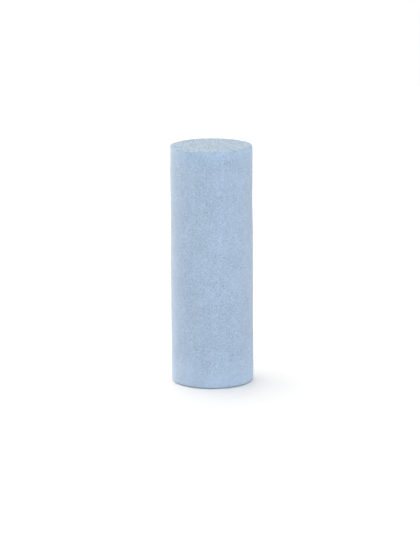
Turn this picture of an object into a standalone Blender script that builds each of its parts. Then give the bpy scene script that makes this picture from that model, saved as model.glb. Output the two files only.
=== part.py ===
"""A stick of pressed cue chalk: one plain upright cylinder with flat ends.

Units are metres, +Z is up, and the origin is at the middle of the base.
"""

import math

import bpy

# Driving dimensions.
DIAMETER = 0.022
HEIGHT = 0.0645
RIM_ROUNDING = 0.00025

# How finely the round shape is divided.
SIDES = 96
RIM_SEGMENTS = 3
SHARP_ANGLE = math.radians(30)

# Pale powder blue, unpolished.
CHALK_COLOUR = (0.402, 0.515, 0.665, 1.0)
CHALK_ROUGHNESS = 0.9


def clear_scene():
    """Remove the objects that a new scene starts with."""
    for item in list(bpy.data.objects):
        bpy.data.objects.remove(item, do_unlink=True)


def chalk_material():
    """Dry pressed powder, dyed through and through."""
    material = bpy.data.materials.new("pressed_chalk")
    material.use_nodes = True
    shader = material.node_tree.nodes["Principled BSDF"]
    shader.inputs["Base Color"].default_value = CHALK_COLOUR
    shader.inputs["Roughness"].default_value = CHALK_ROUGHNESS
    shader.inputs["Metallic"].default_value = 0.0
    return material


def chalk_stick():
    """The pressed block: a cylinder standing on its base, its two rims worn slightly round."""
    bpy.ops.mesh.primitive_cylinder_add(
        vertices=SIDES,
        radius=DIAMETER / 2,
        depth=HEIGHT,
        end_fill_type="NGON",
        location=(0.0, 0.0, HEIGHT / 2),
    )
    stick = bpy.context.object
    stick.name = "chalk_stick"
    stick.data.name = "chalk_stick"
    stick.data.shade_smooth()
    stick.data.set_sharp_from_angle(angle=SHARP_ANGLE)

    rims = stick.modifiers.new("rounded_rims", "BEVEL")
    rims.limit_method = "ANGLE"
    rims.angle_limit = SHARP_ANGLE
    rims.width = RIM_ROUNDING
    rims.segments = RIM_SEGMENTS

    stick.data.materials.append(chalk_material())
    return stick


def place_in_collection(stick):
    """Keep the object's parts together in a collection named for it."""
    parts = bpy.data.collections.new("cue_chalk")
    bpy.context.scene.collection.children.link(parts)
    for home in list(stick.users_collection):
        home.objects.unlink(stick)
    parts.objects.link(stick)


clear_scene()
place_in_collection(chalk_stick())
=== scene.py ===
"""A stick of pressed cue chalk, standing on a white table.

One block of dyed mineral powder, pressed in a round die and pushed out: a smooth fine-grained side,
two coarser flat ends, and rims that have begun to crumble.
"""

import math

import bpy
from mathutils import Matrix, Vector, noise


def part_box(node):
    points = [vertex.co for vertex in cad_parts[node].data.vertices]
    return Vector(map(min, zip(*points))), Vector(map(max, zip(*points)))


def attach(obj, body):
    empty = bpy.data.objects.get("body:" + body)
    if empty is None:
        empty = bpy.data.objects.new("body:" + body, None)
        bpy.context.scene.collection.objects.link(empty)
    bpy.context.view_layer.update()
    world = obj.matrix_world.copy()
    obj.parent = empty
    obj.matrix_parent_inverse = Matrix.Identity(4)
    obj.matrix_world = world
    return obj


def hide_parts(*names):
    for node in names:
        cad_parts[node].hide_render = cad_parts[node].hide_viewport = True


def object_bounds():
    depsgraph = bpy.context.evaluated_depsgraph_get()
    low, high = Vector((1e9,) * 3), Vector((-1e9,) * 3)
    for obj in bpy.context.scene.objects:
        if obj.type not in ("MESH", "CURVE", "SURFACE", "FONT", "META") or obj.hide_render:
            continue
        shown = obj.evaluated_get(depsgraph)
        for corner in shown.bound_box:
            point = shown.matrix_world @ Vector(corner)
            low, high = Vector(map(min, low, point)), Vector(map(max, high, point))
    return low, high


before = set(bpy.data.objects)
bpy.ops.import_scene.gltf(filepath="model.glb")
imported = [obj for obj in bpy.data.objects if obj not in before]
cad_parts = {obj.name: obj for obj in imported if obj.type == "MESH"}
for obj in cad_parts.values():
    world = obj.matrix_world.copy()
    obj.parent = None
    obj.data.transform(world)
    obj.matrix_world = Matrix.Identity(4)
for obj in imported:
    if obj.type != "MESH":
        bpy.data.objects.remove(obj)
model_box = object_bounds()


# ---- Camera ---------------------------------------------------------------------------------
# A long lens a little above the stick and tipped down to look at its middle. It is rolled by a
# third of a degree, so the stick stands very slightly to the left of upright.

CAMERA_DISTANCE = 0.8446
CAMERA_ELEVATION = math.radians(12.377)
CAMERA_TILT = math.radians(12.45)
CAMERA_YAW = math.radians(0.036)
CAMERA_ROLL = math.radians(-0.355)
LENS_MM = 211.4
SENSOR_MM = 36.0

middle = (model_box[0] + model_box[1]) / 2
camera_place = middle + CAMERA_DISTANCE * Vector(
    (0.0, -math.cos(CAMERA_ELEVATION), math.sin(CAMERA_ELEVATION))
)
bpy.ops.object.select_all(action="DESELECT")
bpy.ops.object.camera_add()
camera = bpy.context.object
camera.name = "camera"
camera.data.lens = LENS_MM
camera.data.sensor_width = SENSOR_MM
camera.data.clip_start = 0.01
camera.matrix_world = (
    Matrix.Translation(camera_place)
    @ Matrix.Rotation(CAMERA_YAW, 4, "Z")
    @ Matrix.Rotation(math.pi / 2 - CAMERA_TILT, 4, "X")
    @ Matrix.Rotation(CAMERA_ROLL, 4, "Z")
)
bpy.context.scene.camera = camera


# ---- The chalk stick ------------------------------------------------------------------------
# One block of pressed powder, dyed pale blue right through. The die leaves its side smooth and
# straight, the punches leave its ends flat but coarser, and handling has crumbled the two rims.

stick_low, stick_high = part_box("chalk_stick")
RADIUS = (stick_high.x - stick_low.x) / 2
HEIGHT = stick_high.z - stick_low.z
COLUMNS = 320
SIDE_BANDS = 10
ROWS_PER_BAND = 19
RIM_BAND = 0.0011
RIM_ROWS = 11
TOUCHING = 1e-6


def from_axis(point):
    """Return how far a point is from the stick's upright axis."""
    return math.hypot(point.x, point.y)


def from_end(point):
    """Return how far along the stick a point is from the nearer end."""
    return min(point.z - stick_low.z, stick_high.z - point.z)


def pick(kind, wanted):
    """Select only those vertices, edges or faces of the stick whose corners pass the test."""
    mesh = bpy.context.object.data
    bpy.ops.object.mode_set(mode="EDIT")
    bpy.ops.mesh.select_mode(type=kind)
    bpy.ops.mesh.select_all(action="DESELECT")
    bpy.ops.object.mode_set(mode="OBJECT")
    if kind == "VERT":
        for vertex in mesh.vertices:
            vertex.select = wanted(vertex.co)
    else:
        for member in mesh.edges if kind == "EDGE" else mesh.polygons:
            member.select = wanted(*(mesh.vertices[i].co for i in member.vertices))
    bpy.ops.object.mode_set(mode="EDIT")


bpy.ops.object.select_all(action="DESELECT")
bpy.ops.mesh.primitive_cylinder_add(
    vertices=COLUMNS,
    radius=RADIUS,
    depth=HEIGHT,
    end_fill_type="NGON",
    location=(0.0, 0.0, (stick_low.z + stick_high.z) / 2),
)
stick = bpy.context.object
stick.name = "pressed_chalk_stick"
bpy.ops.object.transform_apply(location=True, rotation=True, scale=True)

# A square bevel lays fine rows along both sides of each rim and leaves its corner where it was.
pick("EDGE", lambda a, b: abs(a.z - b.z) < TOUCHING)
bpy.ops.mesh.bevel(offset=RIM_BAND, segments=2 * RIM_ROWS, profile=1.0, affect="EDGES")

# The rest of the side is divided into rows, first into tall bands and then within each band.
for shortest, pieces in ((HEIGHT / 2, SIDE_BANDS), (HEIGHT / 2 / SIDE_BANDS, ROWS_PER_BAND)):
    pick("EDGE", lambda a, b: abs(a.z - b.z) > shortest)
    bpy.ops.mesh.subdivide(number_cuts=pieces - 1)

# Each end is filled with a grid of small squares, which is then evened out.
GRID_SMOOTHINGS = 40
for end in (stick_low.z, stick_high.z):
    pick("FACE", lambda *corners: len(corners) == COLUMNS and abs(corners[0].z - end) < TOUCHING)
    bpy.ops.mesh.delete(type="ONLY_FACE")
    ring = RADIUS - RIM_BAND + TOUCHING
    pick(
        "EDGE",
        lambda *corners: all(abs(c.z - end) < TOUCHING and from_axis(c) < ring for c in corners),
    )
    bpy.ops.mesh.fill_grid(span=COLUMNS // 4)
    inside = ring - 2 * TOUCHING
    pick("VERT", lambda corner: abs(corner.z - end) < TOUCHING and from_axis(corner) < inside)
    bpy.ops.mesh.vertices_smooth(factor=0.5, repeat=GRID_SMOOTHINGS)

# The end faces take the coarser finish, which is made further down.
pick("FACE", lambda *corners: sum(from_end(c) for c in corners) < TOUCHING)
for finish in ("pressed_side", "bare_end"):
    stick.data.materials.append(bpy.data.materials.new(finish))
stick.active_material_index = 1
bpy.ops.object.material_slot_assign()

# Each kind of roughness works on its own part of the surface, and fades out before the rim.
RIM_FADE = RIM_BAND / 2
RIM_FADE_STEPS = 4
ZONES = {
    "side": lambda corner: from_axis(corner) > RADIUS - TOUCHING,
    "top": lambda corner: corner.z > stick_high.z - TOUCHING,
    "foot": lambda corner: corner.z < stick_low.z + TOUCHING,
}
for zone, belongs in ZONES.items():
    stick.vertex_groups.new(name=zone)
    for step in range(1, RIM_FADE_STEPS + 1):
        clear = step / RIM_FADE_STEPS * RIM_FADE
        pick("VERT", lambda c: belongs(c) and max(RADIUS - from_axis(c), from_end(c)) > clear)
        bpy.context.scene.tool_settings.vertex_group_weight = step / RIM_FADE_STEPS
        bpy.ops.object.vertex_group_assign()
bpy.ops.object.mode_set(mode="OBJECT")
bpy.ops.object.shade_smooth()


def roughen(name, zone, grain, depth, start, full, proud=0.0, direction="NORMAL"):
    """Press a cloudy pattern into a zone, as deep as it goes where the pattern is past full.

    It has no depth where the pattern is under start. proud is the share of it that stands out.
    """
    pattern = bpy.data.textures.new(name, "CLOUDS")
    pattern.noise_scale = grain
    pattern.use_color_ramp = True
    level, sunk = pattern.color_ramp.elements
    level.position, sunk.position = start, full
    level.color, sunk.color = (0.0, 0.0, 0.0, 1.0), (1.0, 1.0, 1.0, 1.0)
    relief = stick.modifiers.new(name, "DISPLACE")
    relief.texture = pattern
    relief.texture_coords = "LOCAL"
    relief.vertex_group = zone
    relief.direction = direction
    relief.mid_level = proud
    relief.strength = -depth
    bpy.ops.object.modifier_apply(modifier=relief.name)


# The die was not quite true, so the side swells and narrows by a tenth of a millimetre.
roughen("uneven_side", "side", grain=0.0150, depth=0.00015, start=0.25, full=0.75, proud=0.5)
roughen("side_grain", "side", grain=0.0006, depth=0.00003, start=0.35, full=0.75, proud=0.5)
roughen("side_pits", "side", grain=0.0016, depth=0.00008, start=0.64, full=0.85)
# The foot stands on its highest grains, so there the same patterns only press upwards.
# Each pattern on the ends: its name, grain, depth, where it starts and is full, and if it stands proud.
END_RELIEF = (
    ("uneven_", 0.0050, 0.00008, 0.35, 0.75, True),
    ("grainy_", 0.0008, 0.00012, 0.40, 0.70, True),
    ("pitted_", 0.0017, 0.00022, 0.60, 0.85, False),
)
for zone, downwards, share_proud in (("top", 1.0, 0.5), ("foot", -1.0, 0.0)):
    for name, size, depth, start, full, stands_proud in END_RELIEF:
        proud = share_proud if stands_proud else 0.0
        roughen(name + zone, zone, size, downwards * depth, start, full, proud, direction="Z")

# Powder has broken away where the side meets the ends. The broken corner is a narrow slope, wider
# where a crumb or a chip is missing, and it eases into the flat surface on both sides of it.
BROKEN_WIDTH = {"top": 0.00014, "foot": 0.00044}
BREAKAGE_SHARE = {"top": 1.0, "foot": 0.4}
# EASING is the power that rounds the slope into the flat surfaces, and BAND_FADE is the power that
# brings it to nothing at the limit of the fine rows.
EASING = 3
BAND_FADE = 4
# Each kind of breakage: its length, how much of the rim it spares, and how wide it grows.
BREAKAGE = (
    (0.0040, -0.30, 0.00020),
    (0.0022, 0.30, 0.00100),
    (0.0008, 0.06, 0.00080),
    (0.0003, 0.00, 0.00015),
)
for vertex in stick.data.vertices:
    inset, rise = max(0.0, RADIUS - from_axis(vertex.co)), from_end(vertex.co)
    if max(inset, rise) > RIM_BAND:
        continue
    end = "foot" if vertex.co.z < middle.z else "top"
    broken = BROKEN_WIDTH[end]
    for length, spared, width in BREAKAGE:
        width *= BREAKAGE_SHARE[end]
        broken += max(0.0, noise.noise(vertex.co / length) - spared) * width
    along = abs(inset - rise)
    move = ((along**EASING + broken**EASING) ** (1 / EASING) - inset - rise) / 2
    move *= 1.0 - (along / RIM_BAND) ** BAND_FADE
    outward = Vector((vertex.co.x, vertex.co.y, 0.0)).normalized()
    inward = Vector((0.0, 0.0, 1.0 if end == "foot" else -1.0))
    vertex.co += max(0.0, move) * (inward - outward)
stick.data.update()


def node_group(name, inputs, outputs):
    """Start a shader node group with named sockets, and return it with its two end nodes."""
    group = bpy.data.node_groups.new(name, "ShaderNodeTree")
    for side, sockets in (("INPUT", inputs), ("OUTPUT", outputs)):
        for socket_name, kind in sockets.items():
            group.interface.new_socket(socket_name, in_out=side, socket_type="NodeSocket" + kind)
    return group, group.nodes.new("NodeGroupInput"), group.nodes.new("NodeGroupOutput")


def place(tree, kind, links=None, **settings):
    """Add a node with its settings, and join sockets or put values on its inputs."""
    node = tree.nodes.new("ShaderNode" + kind)
    for setting, value in settings.items():
        setattr(node, setting, value)
    for socket, source in (links or {}).items():
        if isinstance(source, bpy.types.NodeSocket):
            tree.links.new(source, node.inputs[socket])
        else:
            node.inputs[socket].default_value = source
    return node


def maths(tree, operation, first, second=0.0):
    """Add a Math node and return its result."""
    return place(tree, "Math", {0: first, 1: second}, operation=operation).outputs[0]


def blend_colours(tree, factor, first, second):
    """Add a colour Mix node, whose colour inputs are numbers 6 and 7, and return its colour."""
    return place(tree, "Mix", {0: factor, 6: first, 7: second}, data_type="RGBA").outputs[2]


# Handling has rubbed the skin near the top rim and left loose powder, a paler and clearer blue
# that fades out with a ragged edge. Near the foot a wider paler band is partly loose powder and
# partly painted light that lifts the foot out of the shade near the table. Right on the rim,
# crumbs show the bare powder inside.
rubbed, given, result = node_group(
    "rubbed rims and lit foot",
    {
        "Position": "Vector",
        "Dye": "Color",
        "Top Dust": "Color",
        "Foot Dust And Painted Light": "Color",
        "Bare Powder": "Color",
        "Top Amount": "Float",
        "Foot Light And Dust Amount": "Float",
        "Crumbs": "Float",
        "Radius": "Float",
        "Height": "Float",
    },
    {"Dye": "Color", "Rubbed And Lit": "Float"},
)
position = given.outputs["Position"]
axes = place(rubbed, "SeparateXYZ", {"Vector": position})
across = place(rubbed, "CombineXYZ", {"X": axes.outputs["X"], "Y": axes.outputs["Y"]})
out = place(rubbed, "VectorMath", {0: across.outputs["Vector"]}, operation="LENGTH").outputs["Value"]
in_from_side = maths(rubbed, "SUBTRACT", given.outputs["Radius"], out)
up = axes.outputs["Z"]
down = maths(rubbed, "SUBTRACT", given.outputs["Height"], up)


def rim_mask(from_end_plane, patch_size, raggedness, reach):
    """Return a mask that is 1 at a rim and fades to 0 at a ragged distance, about reach in mm."""
    from_rim = maths(rubbed, "MAXIMUM", in_from_side, from_end_plane)
    ragged = place(rubbed, "TexNoise", {"Vector": position, "Scale": 1.0 / patch_size, "Detail": 4.0})
    twice = maths(rubbed, "MULTIPLY", ragged.outputs["Fac"], 2.0)
    edge = maths(rubbed, "MULTIPLY", maths(rubbed, "POWER", twice, raggedness), reach)
    fade = place(
        rubbed,
        "MapRange",
        {"Value": from_rim, "From Min": 0.0, "From Max": edge, "To Min": 1.0, "To Max": 0.0},
        interpolation_type="SMOOTHSTEP",
    )
    return fade.outputs["Result"]


TOP_REACH, FOOT_REACH, CRUMB_REACH = 5.5, 10.0, 0.45
top_mask = rim_mask(down, patch_size=1.8, raggedness=1.2, reach=TOP_REACH)
foot_light_and_dust_mask = rim_mask(up, patch_size=4.0, raggedness=1.0, reach=FOOT_REACH)
crumb_mask = rim_mask(down, patch_size=0.5, raggedness=3.0, reach=CRUMB_REACH)
at_top = maths(rubbed, "MULTIPLY", top_mask, given.outputs["Top Amount"])
foot_light_and_dust = maths(rubbed, "MULTIPLY", foot_light_and_dust_mask, given.outputs["Foot Light And Dust Amount"])
dusted_and_lit = blend_colours(rubbed, at_top, given.outputs["Dye"], given.outputs["Top Dust"])
# At the foot the colour turns paler: partly loose powder, partly painted light that lifts the foot out of
# the table's shade.
dusted_and_lit = blend_colours(rubbed, foot_light_and_dust, dusted_and_lit, given.outputs["Foot Dust And Painted Light"])
crumbs = maths(rubbed, "MULTIPLY", crumb_mask, given.outputs["Crumbs"])
crumbled = blend_colours(rubbed, crumbs, dusted_and_lit, given.outputs["Bare Powder"])
rubbed.links.new(crumbled, result.inputs["Dye"])
rubbed.links.new(maths(rubbed, "MAXIMUM", at_top, foot_light_and_dust), result.inputs["Rubbed And Lit"])

# Packed powder seen close: grains a little lighter or darker than their neighbours, finer dust
# between them, a slow mottling where the mix is uneven, and small ragged pits, sunk and also
# coloured darker with painted shade.
DUST_PER_GRAIN = 1.7
HOLLOWS_PER_GRAIN = 0.45
GRAINS_PER_CLUMP = 9.0
GRAINS_PER_DRIFT = 36.0
GRAIN_BEND = 2.0
DUST_GAIN = 2.2
DRIFT_GAIN = 1.2
PIT_START, PIT_FULL = 0.62, 0.74
PAINTED_PIT_SHADE = 0.06
SMOOTHEST, ROUGHEST = 0.70, 0.95
grain, given, result = node_group(
    "powder grain",
    {"Position": "Vector", "Dye": "Color", "Grain Size": "Float", "Contrast": "Float", "Mottling": "Float"},
    {"Colour": "Color", "Roughness": "Float", "Height": "Float"},
)
per_mm = maths(grain, "DIVIDE", 1.0, given.outputs["Grain Size"])


def powder_noise(scale_factor, detail, roughness):
    """Add noise to the grain group, finer by a factor than its grains, and return its colour and value."""
    scale = maths(grain, "MULTIPLY", per_mm, scale_factor)
    node = place(
        grain,
        "TexNoise",
        {"Vector": given.outputs["Position"], "Scale": scale, "Detail": detail, "Roughness": roughness},
    )
    return node.outputs["Color"], node.outputs["Fac"]


def around_zero(value, gain):
    """Shift a value that runs from 0 to 1 so that it swings about zero, and scale it."""
    return maths(grain, "MULTIPLY", maths(grain, "SUBTRACT", value, 0.5), gain)


# Bending the space that the grains are drawn in gives them ragged sides.
bend, dust = powder_noise(DUST_PER_GRAIN, 4.0, 0.65)
bend = place(grain, "VectorMath", {0: bend, 1: (0.5, 0.5, 0.5)}, operation="SUBTRACT")
bend = place(
    grain,
    "VectorMath",
    {0: bend.outputs[0], "Scale": maths(grain, "MULTIPLY", given.outputs["Grain Size"], GRAIN_BEND)},
    operation="SCALE",
)
bent = place(grain, "VectorMath", {0: given.outputs["Position"], 1: bend.outputs[0]}, operation="ADD")
grains = place(grain, "TexVoronoi", {"Vector": bent.outputs[0], "Scale": per_mm})
each_grain = place(grain, "SeparateColor", {"Color": grains.outputs["Color"]}).outputs["Red"]
clumps = powder_noise(1.0 / GRAINS_PER_CLUMP, 2.0, 0.5)[1]
drifts = powder_noise(1.0 / GRAINS_PER_DRIFT, 1.0, 0.5)[1]
hollows = powder_noise(HOLLOWS_PER_GRAIN, 3.0, 0.6)[1]
pits = place(grain, "MapRange", {"Value": hollows, "From Min": PIT_START, "From Max": PIT_FULL})
pits = pits.outputs["Result"]

speckle = maths(grain, "ADD", around_zero(each_grain, 1.0), around_zero(dust, DUST_GAIN))
speckle = maths(grain, "MULTIPLY", speckle, given.outputs["Contrast"])
uneven = maths(grain, "ADD", around_zero(clumps, 1.0), around_zero(drifts, DRIFT_GAIN))
uneven = maths(grain, "MULTIPLY", uneven, given.outputs["Mottling"])
shade = maths(grain, "ADD", speckle, uneven)
# The pits are coloured darker: painted shade in the hollows.
shade = maths(grain, "SUBTRACT", shade, maths(grain, "MULTIPLY", pits, PAINTED_PIT_SHADE))
shade = maths(grain, "ADD", shade, 1.0)
shaded = place(grain, "VectorMath", {0: given.outputs["Dye"], "Scale": shade}, operation="SCALE")
grain.links.new(shaded.outputs["Vector"], result.inputs["Colour"])

rough = place(grain, "MapRange", {"Value": dust, "To Min": SMOOTHEST, "To Max": ROUGHEST})
grain.links.new(rough.outputs["Result"], result.inputs["Roughness"])

# Heights are in millimetres.
GRAIN_HEIGHT, DUST_HEIGHT, PIT_DEPTH = 0.014, 0.060, 0.050
height = maths(grain, "ADD", around_zero(each_grain, GRAIN_HEIGHT), around_zero(dust, DUST_HEIGHT))
height = maths(grain, "SUBTRACT", height, maths(grain, "MULTIPLY", pits, PIT_DEPTH))
grain.links.new(height, result.inputs["Height"])

MM_PER_M = 1000.0
HIDDEN_BY_DUST = 0.45
STREAK_LENGTH = 50.0
STREAKS_PER_MM = 1.4
SIDE_DYE = (0.345, 0.454, 0.605, 1.0)
END_DYE = (0.362, 0.453, 0.555, 1.0)
TOP_DUST = (0.366, 0.530, 0.716, 1.0)
# The foot's paler blue is partly loose powder and partly painted light against the table's shade.
FOOT_DUST_AND_PAINTED_LIGHT = (0.402, 0.526, 0.697, 1.0)
BARE_POWDER = (0.380, 0.480, 0.590, 1.0)


def chalk_finish(name, dye, grain_size, contrast, mottling, rim_wear_and_foot_light, streaks, sheen):
    """Give a finish its rubbed top rim, a paler foot that is partly painted light, its grain, and the faint
    upright streaks that the die leaves.
    """
    finish = bpy.data.materials[name]
    finish.use_nodes = True
    tree = finish.node_tree
    shader = tree.nodes["Principled BSDF"]
    shader.inputs["Sheen Weight"].default_value = sheen
    shader.inputs["Sheen Roughness"].default_value = 0.5
    on_stick = place(tree, "TexCoord").outputs["Object"]
    in_mm = place(tree, "Mapping", {"Vector": on_stick, "Scale": (MM_PER_M,) * 3}).outputs["Vector"]
    top_amount, foot_light_and_dust_amount, crumbs = rim_wear_and_foot_light
    rubbing_and_foot_light = place(
        tree,
        "Group",
        node_tree=bpy.data.node_groups["rubbed rims and lit foot"],
        links={
            "Position": in_mm,
            "Dye": dye,
            "Top Dust": TOP_DUST,
            "Foot Dust And Painted Light": FOOT_DUST_AND_PAINTED_LIGHT,
            "Bare Powder": BARE_POWDER,
            "Top Amount": top_amount,
            "Foot Light And Dust Amount": foot_light_and_dust_amount,
            "Crumbs": crumbs,
            "Radius": RADIUS * MM_PER_M,
            "Height": HEIGHT * MM_PER_M,
        },
    )
    drawn_out = place(tree, "Mapping", {"Vector": in_mm, "Scale": (1.0, 1.0, 1.0 / STREAK_LENGTH)})
    drawn = place(
        tree,
        "TexNoise",
        {"Vector": drawn_out.outputs["Vector"], "Scale": STREAKS_PER_MM, "Detail": 3.0},
    )
    darkest, lightest = 1.0 - streaks, 1.0 + streaks
    streak = place(
        tree,
        "MapRange",
        {"Value": drawn.outputs["Fac"], "To Min": darkest, "To Max": lightest},
    )
    streaked = place(
        tree,
        "VectorMath",
        {0: rubbing_and_foot_light.outputs["Dye"], "Scale": streak.outputs["Result"]},
        operation="SCALE",
    )
    # The loose powder fills the hollows between the grains, so they show less there; they show less in the
    # partly painted light at the foot too.
    filled = maths(tree, "MULTIPLY", rubbing_and_foot_light.outputs["Rubbed And Lit"], contrast * HIDDEN_BY_DUST)
    powder = place(
        tree,
        "Group",
        node_tree=bpy.data.node_groups["powder grain"],
        links={
            "Position": in_mm,
            "Dye": streaked.outputs["Vector"],
            "Grain Size": grain_size,
            "Contrast": maths(tree, "SUBTRACT", contrast, filled),
            "Mottling": mottling,
        },
    )
    height = powder.outputs["Height"]
    bump = place(tree, "Bump", {"Height": height, "Strength": 1.0, "Distance": 1.0 / MM_PER_M})
    tree.links.new(powder.outputs["Colour"], shader.inputs["Base Color"])
    tree.links.new(powder.outputs["Roughness"], shader.inputs["Roughness"])
    tree.links.new(bump.outputs["Normal"], shader.inputs["Normal"])


chalk_finish(
    "pressed_side",
    SIDE_DYE,
    grain_size=0.16,
    contrast=0.46,
    mottling=0.15,
    rim_wear_and_foot_light=(0.52, 0.85, 1.0),
    streaks=0.04,
    sheen=0.28,
)
chalk_finish(
    "bare_end",
    END_DYE,
    grain_size=0.27,
    contrast=0.65,
    mottling=0.04,
    rim_wear_and_foot_light=(0.2, 0.2, 1.0),
    streaks=0.0,
    sheen=0.0,
)

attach(stick, "root")
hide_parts("chalk_stick")


# ---- White table -----------------------------------------------------------------------------
# A smooth round white table top, with the stick standing at its middle. It ends where the lamps
# still light it almost as white as the room behind it, so its edge hardly shows.

TABLE_RADIUS = 0.5
bpy.ops.object.select_all(action="DESELECT")
bpy.ops.mesh.primitive_circle_add(
    vertices=96,
    radius=TABLE_RADIUS,
    fill_type="NGON",
    location=(0.0, 0.0, stick_low.z),
)
table = bpy.context.object
table.name = "white_table"
white = bpy.data.materials.new("white_table")
white.use_nodes = True
white_shader = white.node_tree.nodes["Principled BSDF"]
white_shader.inputs["Base Color"].default_value = (0.87, 0.885, 0.895, 1.0)
white_shader.inputs["Roughness"].default_value = 0.6
white_shader.inputs["Specular IOR Level"].default_value = 0.5
table.data.materials.append(white)


# ---- Light -----------------------------------------------------------------------------------
# A white room with large soft lamps. The strongest is low behind on the left: it helps to draw the
# pale band down the left edge, and lays the faint shadow on the right.

ROOM_GLOW = 0.6
WHITE = (1.0, 1.0, 1.0)

room = bpy.data.worlds.new("white_room")
bpy.context.scene.world = room
room.use_nodes = True
room_tree = room.node_tree
glow = room_tree.nodes["Background"]
glow.inputs["Color"].default_value = (*WHITE, 1.0)
glow.inputs["Strength"].default_value = ROOM_GLOW
wall = place(room_tree, "Background", {"Color": (*WHITE, 1.0), "Strength": 1.0})
seen = place(room_tree, "LightPath").outputs["Is Camera Ray"]
walls = place(room_tree, "MixShader", {0: seen, 1: glow.outputs[0], 2: wall.outputs[0]})
room_tree.links.new(walls.outputs[0], room_tree.nodes["World Output"].inputs["Surface"])
bpy.context.scene.view_settings.view_transform = "Standard"

LAMP_DISTANCE = 1.0
LAMP_SIZE = 0.7
WARM = (1.06, 0.96, 0.83)

# name, degrees to the right of the camera, degrees up, watts, colour
LAMPS = (
    ("low_behind_left", -135, 15, 5.00, WARM),
    ("low_front_right", 45, 15, 2.40, WHITE),
    ("behind", 180, 45, 2.00, WARM),
    ("overhead", 0, 88, 2.00, WHITE),
    ("left", -90, 45, 1.90, WARM),
    ("low_front", 0, 15, 1.20, WHITE),
    ("front_left", -45, 45, 0.75, WHITE),
    ("low_behind_right", 135, 15, 0.80, WHITE),
)
for name, around, up, watts, colour in LAMPS:
    around, up = math.radians(around), math.radians(up)
    towards = Vector((math.sin(around) * math.cos(up), -math.cos(around) * math.cos(up), math.sin(up)))
    bpy.ops.object.light_add(type="AREA", location=middle + LAMP_DISTANCE * towards)
    lamp = bpy.context.object
    lamp.name = name
    lamp.rotation_euler = towards.to_track_quat("Z", "Y").to_euler()
    lamp.data.shape = "DISK"
    lamp.data.size = LAMP_SIZE
    lamp.data.energy = watts
    lamp.data.color = colour
